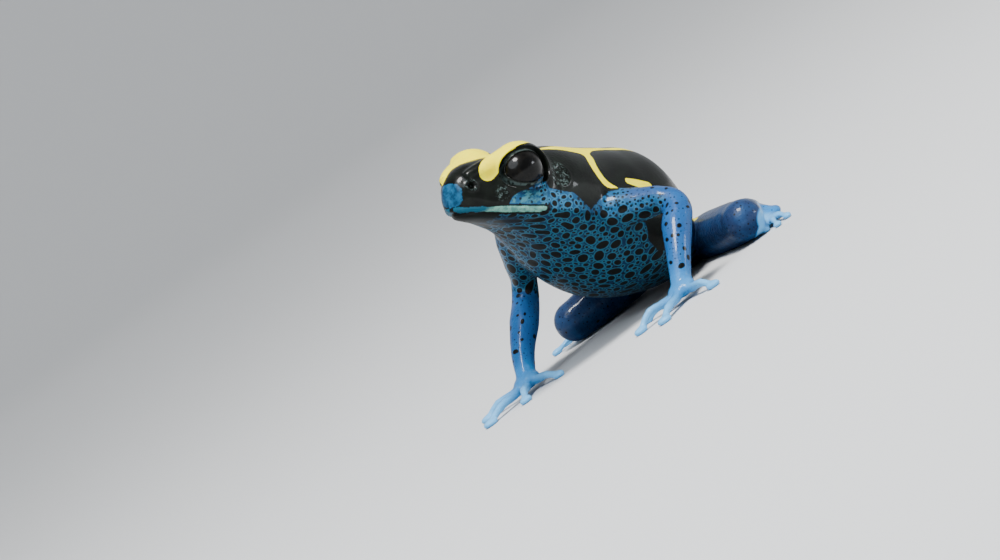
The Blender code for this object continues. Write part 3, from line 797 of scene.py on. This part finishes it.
def wet_skin():
    """Glossy skin: black above, netted blue below, cobalt limbs, and yellow bands."""
    skin = Finish("wet_skin", Coat_Roughness=0.07, Coat_IOR=1.3, Specular_IOR_Level=0.08)
    cloud = skin.noise(1.4)
    fine = skin.noise(0.25)
    mottle = skin.noise(0.55, 4.0, 0.6)
    edge = (fine - 0.5) * 0.14
    under = skin.mark("under").between(0.0, 1.0)
    plain = skin.mark("plain").between(0.0, 1.0)
    reach = skin.mark("reach")
    grain_and_glint = skin.mark("grain_and_glint").between(0.0, 1.0)
    yellow = (skin.mark("yellow") + edge * 0.6).between(-0.03, 0.04)
    blue = (skin.mark("blue") + edge * 1.6).between(-0.05, 0.07)
    blotch = skin.mark("blotch") + edge * 0.7
    spot = skin.mark("spot") + edge * 0.4
    dots = skin.cells(0.5) * 0.5
    tiny = (0.2 - dots).between(0.0, 0.05)
    calm = skin.mark("calm").between(0.0, 1.0)
    shade = skin.mark("shade").between(0.0, 1.0)
    # Painted highlights: grey glints speckled over the grainy black skin before the eye, at the ear and
    # round the nostril.
    glint_speckle = skin.noise(0.32, 4.0, 0.7).between(0.52, 0.6)
    black = skin.mix(cloud.between(0.35, 0.7), BLACK, SOOT)
    black = skin.mix(grain_and_glint.between(0.2, 0.7) * glint_speckle * 0.8, black, GLINT_GREY)
    # Painted shade: the net's blue darkens where the skin faces down.
    ground = skin.mix(under, NET_BLUE_LIT, NET_BLUE_SHADED)
    pale = skin.mix(under, NET_PALE_LIT, NET_PALE_SHADED)
    net = skin.mix(mottle.between(0.45, 0.75) * 0.5, ground, pale)
    net = skin.mix(tiny * 0.9, net, BLACK)
    bands = skin.noise(0.5, stretch=(1, 0.3, 1)).between(0.42, 0.62)
    net = skin.mix(skin.mark("streak").between(0.0, 0.2) * bands * 0.8, net, STREAK)
    rim = blotch.between(-0.17, -0.09)
    net = skin.mix(rim * (0.75 - calm * 0.6), net, pale)
    net = skin.mix(shade * 0.65, net, SHADOW)
    arm = skin.mix(reach.between(0.15, 0.4), UPPER_ARM, FOREARM)
    arm = skin.mix(reach.between(0.55, 0.95), arm, HAND)
    arm = skin.mix(reach.between(1.0, 1.9), arm, TIP)
    # Painted shade: the thigh darkens where it faces down.
    thigh = skin.mix(under, THIGH_LIT, THIGH_SHADED)
    leg = skin.mix(reach.between(0.4, 0.6), thigh, HAND)
    leg = skin.mix(reach.between(0.8, 1.45), leg, TIP)
    limb = skin.mix(skin.mark("leg"), arm, leg)
    limb = skin.mix(cloud.between(0.35, 0.75) * 0.14, limb, HAND)
    limb = skin.mix(spot.between(-0.03, 0.03), limb, BLACK)
    flesh = skin.mix(plain, net, limb)
    flesh = skin.mix(blotch.between(-0.05, 0.02), flesh, BLACK)
    colour = skin.mix(blue, black, flesh)
    front = skin.mark("front").between(-0.2, 0.5)
    lip = skin.mark("lip") + edge * 0.5 + (mottle - 0.55) * (0.12 + front * 0.35)
    lip_colour = skin.mix(front, skin.mix(mottle.between(0.4, 0.6), LIP_GREY, LIP), LIP_BLUE)
    colour = skin.mix(lip.between(-0.28, -0.1), colour, BLACK)
    colour = skin.mix(lip.between(-0.03, 0.06), colour, lip_colour)
    snout = (skin.mark("snout") + (mottle - 0.5) * 0.5).between(-0.04, 0.06)
    colour = skin.mix(snout, colour, skin.mix(mottle.between(0.35, 0.65), SNOUT, SNOUT_PALE))
    # Painted highlight: a broken grey ring along the lids' rim.
    colour = skin.mix(skin.mark("rim").between(0.2, 1.0) * mottle.between(0.35, 0.5) * 0.75, colour, GLINT_GREY)
    sunny = skin.mix(cloud.between(0.3, 0.8), YELLOW, LEMON)
    colour = skin.mix(yellow, colour, sunny)
    bumps = skin.cells(0.26, feature="SMOOTH_F1") * (0.5 + grain_and_glint * 1.5 + plain * 0.7) + fine * 0.5
    bumps = bumps + plain * mottle * 2.2
    skin.set(
        Base_Color=colour,
        Roughness=0.32 + cloud * 0.1 + under * 0.25,
        Coat_Weight=(0.55 - yellow * 0.45) * (1 - under * 0.85),
        Normal=skin.bump(bumps, 0.03),
    )
    return skin.material


def dark_eye():
    """A wet eye: a black pupil in an iris that is nearly as dark."""
    eye = Finish("dark_eye", Coat_Weight=0.8, Coat_Roughness=0.05, Coat_IOR=1.27)
    eye.set(Roughness=0.4, Specular_IOR_Level=0.05)
    ring = eye.mark("from_pupil")
    streak = eye.noise(0.3, 4.0)
    iris = eye.mix(streak.between(0.35, 0.75), IRIS, IRIS_BROWN)
    eye.set(Base_Color=eye.mix(ring.between(-0.04, 0.06), PUPIL_BLACK, iris))
    return eye.material


def make_eye(side):
    """An eyeball with a dark iris round a level oval pupil."""
    place = eye_frame(side)
    eye = ball("eyeball_" + side, Vector((0, 0, 0)), Vector((1, 1, 1)) * EYE_RADIUS * MM, place, 96)
    local = Clay(eye).within(place)
    away = np.hypot(local[:, 0] / PUPIL[0], local[:, 1] / PUPIL[1]) - 1
    attribute(eye.data, "from_pupil", np.where(local[:, 2] > 0, away, 1.0))
    eye.data.shade_smooth()
    eye.data.materials.append(dark_eye())
    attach(eye, "root")
    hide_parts("eye_" + side)


# Rounds of softening: all over, in the creases, and once more round the eyes and at the knees.
EVEN_ROUNDS, CREASE_ROUNDS, JOIN_ROUNDS = 9, 50, 90


def soften_joins(clay):
    """Blend the pieces into one skin."""
    clay.soften(EVEN_ROUNDS)
    clay.soften(CREASE_ROUNDS, bumps=0.06)
    knees = np.full(len(clay.points), FAR_AWAY)
    for side in ("left", "right"):
        knee = np.array(standing(LEGS[side].knee))
        knees = np.minimum(knees, np.linalg.norm(clay.points - knee, axis=1) / MM)
    eyes = mirrored(clay.within(HEAD)) - np.array(EYE_CENTRE)
    round_eyes = hill(np.linalg.norm(eyes, axis=1) - 3.0, 1.0)
    at_knees = step_up(6.0, 4.0, knees)
    clay.soften(JOIN_ROUNDS, bumps=0.3 * at_knees, where=np.maximum(round_eyes, at_knees))


def mark_head(mesh, clay):
    """The marks of the head and throat: lips, snout, streak, grainy skin with painted glints, calm skin,
    and painted shade on the throat's front.
    """
    head, torso = mirrored(clay.within(HEAD)), clay.within(TORSO)
    x, y, z = head.T
    lip = 0.28 - 0.06 * hill(y + 12.3, 1.0) - np.abs(above_mouth(head) - 0.36)
    lip = np.minimum(lip, np.minimum((MOUTH_CORNER - 0.3 - y) * 0.4, (y + 15.4) * 2))
    attribute(mesh, "lip", np.minimum(lip, (x - 0.2) * 0.8))
    attribute(mesh, "front", -12.4 - y)
    nose_x = np.abs(clay.within(HEAD)[:, 0] / 1.5) ** 2.6
    snout = 1.3 * (1 - (nose_x + np.abs((z + 1.3) / 1.25) ** 2.6) ** (1 / 2.6))
    attribute(mesh, "snout", np.where(y < -13.2, snout, -1.0))
    streak = np.minimum(0.75 - np.abs(z + 1.35), np.minimum(y + 10.9, -6.4 - y) * 0.5)
    attribute(mesh, "streak", np.where(y < -5, streak, -1.0))
    # Grainy skin, bumpier, where the shader also paints grey glints as highlights: before the eye, at the
    # ear and round the nostril.
    lore = hill(np.linalg.norm((head - [3.7, -11.3, -1.0]) / [1, 0.8, 0.9], axis=1), 1.0)
    ear = hill(np.linalg.norm((head - [5.7, -4.6, 1.6]) / [1.5, 1.2, 2.0], axis=1), 1.0)
    nose = hill(np.linalg.norm(head - np.array(NOSTRIL), axis=1) - 0.55, 0.2)
    attribute(mesh, "grain_and_glint", np.clip(lore + ear + 0.7 * nose, 0, 1))
    attribute(mesh, "calm", step_up(-5.5, -3.5, torso[:, 1]) * step_up(-2.2, -0.8, torso[:, 2]))
    attribute(mesh, "shade", step_up(-6.0, -8.5, y) * step_up(-2.8, -3.4, z))


def chest_blotches(clay, normals, blue, plain):
    """The jaw's marks, and between them blotches on the chest and cheeks, from large to small."""
    head, torso = mirrored(clay.within(HEAD)), clay.within(TORSO)
    bare = (head[:, 1] < -7.4) & (above_mouth(head) > 0.4)
    chest = (blue > 0.35) & (plain < 0.75) & ~bare
    marks = np.full(len(clay.points), -9.0)
    for stroke in JAW_MARKS:
        marks = np.maximum(marks, -stroke_distance(head, stroke))
    cheek = chest & (torso[:, 2] > -2.0)
    calm = chest & (torso[:, 1] > -4.5) & (torso[:, 2] > -1.2)
    upper = cheek & (head[:, 2] > -1.7)
    groups = [
        (chest & ~cheek, 1500, 0.34, 0.58, 0.5, 3),
        (cheek & ~calm & ~upper, 400, 0.26, 0.48, 0.55, 4),
        (upper & ~calm, 300, 0.14, 0.24, 0.55, 2),
        (chest & ~calm, 4000, 0.2, 0.34, 0.6, 5),
        (chest & ~calm, 6000, 0.12, 0.2, 0.6, 6),
        (chest, 9000, 0.08, 0.13, 0.7, 8),
    ]
    return blotch_field(clay, normals, groups, marks)


def limb_spots(clay, normals, blue, plain, reach):
    """Fewer and smaller black spots on the limbs, and none on the fingers."""
    limbs = (plain > 0.6) & (blue > 0.3)
    arms = clay.within(TORSO)[:, 1] < 8
    groups = [
        (limbs & arms & (reach < 0.8), 110, 0.13, 0.3, 0.6, 7),
        (limbs & ~arms & (reach < 0.5), 60, 0.1, 0.2, 0.8, 1),
        (limbs & (reach < 0.9), 2500, 0.05, 0.09, 0.8, 9),
    ]
    return blotch_field(clay, normals, groups)


def make_skin():
    body = rough_skin()
    clay = Clay(body)
    soften_joins(clay)
    openness = open_lids(clay)
    carve_head(clay)
    fold_skin(clay)
    below_floor = clay.points[:, 2] < 0
    clay.points[below_floor, 2] = 0
    mesh = body.data
    normals = clay.normals()
    blue, plain, reach = blue_field(clay, normals)
    attribute(mesh, "yellow", np.minimum(yellow_field(clay), (openness - 1.33) * 2))
    attribute(mesh, "blue", blue)
    attribute(mesh, "plain", plain)
    attribute(mesh, "reach", reach)
    attribute(mesh, "leg", clay.within(TORSO)[:, 1] > 8.0)
    # How far each point faces down: painted shade on the net and the thighs, and less coat and more
    # roughness there.
    attribute(mesh, "under", step_up(0.25, -0.6, normals[:, 2]))
    # The lids' rim, where the shader paints a grey highlight.
    attribute(mesh, "rim", hill(openness - 1.12, 0.07))
    mark_head(mesh, clay)
    attribute(mesh, "blotch", chest_blotches(clay, normals, blue, plain))
    attribute(mesh, "spot", limb_spots(clay, normals, blue, plain, reach))
    mesh.shade_smooth()
    mesh.materials.append(wet_skin())
    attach(body, "root")
    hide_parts(*(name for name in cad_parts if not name.startswith("eye")))


# The camera stands where the photograph's did: its bearing, height and roll round the shoulders.
PIXELS_PER_MM = 9.5
BEARING, HEIGHT_ANGLE, ROLL = math.radians(33.0), math.radians(4.25), math.radians(34.5)
DISTANCE = 0.5
# The photograph's size and the place of the shoulders in it, in pixels.
PICTURE = (1000, 560)
SHOULDERS_AT = (559, 217.5)
SENSOR_WIDTH = 36


def camera_axes():
    level = math.cos(HEIGHT_ANGLE)
    away = Vector((math.sin(BEARING) * level, -math.cos(BEARING) * level, math.sin(HEIGHT_ANGLE)))
    right = Vector((0, 0, 1)).cross(away).normalized()
    level_up = away.cross(right)
    up = level_up * math.cos(ROLL) + right * math.sin(ROLL)
    return up.cross(away).normalized(), up, away


def make_camera():
    right, up, away = camera_axes()
    data = bpy.data.cameras.new("camera")
    data.sensor_width = SENSOR_WIDTH
    data.lens = SENSOR_WIDTH * DISTANCE / (PICTURE[0] / PIXELS_PER_MM * MM)
    data.clip_start, data.clip_end = 0.01, 20
    camera = bpy.data.objects.new("camera", data)
    bpy.context.scene.collection.objects.link(camera)
    target = Vector((0, 0, SHOULDER_HEIGHT)) - MIDDLE
    place = target + away * DISTANCE
    place -= right * ((SHOULDERS_AT[0] - PICTURE[0] / 2) / PIXELS_PER_MM * MM)
    place -= up * ((PICTURE[1] / 2 - SHOULDERS_AT[1]) / PIXELS_PER_MM * MM)
    camera.matrix_world = Matrix.Translation(place) @ Matrix((right, up, away)).transposed().to_4x4()
    bpy.context.scene.camera = camera


# Metres: the lamps' distance from the frog and its middle's height, and the stage's measures.
LAMP_DISTANCE, FROG_MIDDLE = 0.6, 0.012
FLOOR_RADIUS, WALL_CURVE, WALL_TOP = 0.9, 0.7, 1.5
FLOOR_SIDES, CURVE_STEPS = 96, 16


def make_light(name, direction, size, power, colour):
    data = bpy.data.lights.new(name, "AREA")
    data.shape = "DISK"
    data.size = size
    data.energy = power
    data.color = colour
    light = bpy.data.objects.new(name, data)
    bpy.context.scene.collection.objects.link(light)
    light.location = direction.normalized() * LAMP_DISTANCE + Vector((0, 0, FROG_MIDDLE))
    light.rotation_euler = direction.to_track_quat("Z", "Y").to_euler()


def make_stage():
    """A pale round floor that rises into a pale wall, and soft lights."""
    profile = [(0.02, 0.0), (FLOOR_RADIUS, 0.0)]
    for step in range(1, CURVE_STEPS + 1):
        turn = math.pi / 2 * step / CURVE_STEPS
        height = WALL_CURVE - WALL_CURVE * math.cos(turn)
        profile.append((FLOOR_RADIUS + WALL_CURVE * math.sin(turn), height))
    profile.append((FLOOR_RADIUS + WALL_CURVE, WALL_TOP))
    count = FLOOR_SIDES
    corners, faces = [(0, 0, 0)], []
    for radius, height in profile:
        for step in range(count):
            turn = 2 * math.pi * step / count
            corners.append((radius * math.cos(turn), radius * math.sin(turn), height))
    for step in range(count):
        after = (step + 1) % count
        faces.append((0, 1 + step, 1 + after))
        for row in range(len(profile) - 1):
            a, b = 1 + row * count + step, 1 + row * count + after
            faces.append((a, a + count, b + count, b))
    floor = mesh_object("floor", corners, faces)
    floor.data.shade_smooth()
    paper = Finish("paper", Base_Color=PAPER, Roughness=0.85, Specular_IOR_Level=0.05)
    # Painted light: the paper glows more the further it lies from the middle, so the far wall looks lit.
    distance = paper.node("ShaderNodeVectorMath", {"operation": "LENGTH"}, {0: paper.place()}, "Value")
    glow = paper.mix(distance.between(0.1, 0.75), (0, 0, 0), PAPER_GLOW)
    paper.set(Emission_Color=glow, Emission_Strength=1.0)
    floor.data.materials.append(paper.material)
    right, up, away = camera_axes()
    make_light("key", up * 1.0 + away * 0.5 - right * 0.45, 0.2, 6.5, (1.0, 0.98, 0.95))
    make_light("sky", up * 0.8 + away * 0.9 - right * 0.8, 0.5, 3.0, (0.86, 0.93, 1.0))
    make_light("side", right * 1.0 + up * 0.6 + away * 0.2, 0.2, 1.8, (0.9, 0.95, 1.0))
    world = bpy.data.worlds.new("studio")
    world.use_nodes = True
    background = world.node_tree.nodes["Background"]
    background.inputs["Color"].default_value = (0.8, 0.82, 0.85, 1)
    background.inputs["Strength"].default_value = 0.33
    bpy.context.scene.world = world


make_skin()
for side in ("left", "right"):
    make_eye(side)
make_stage()
make_camera()
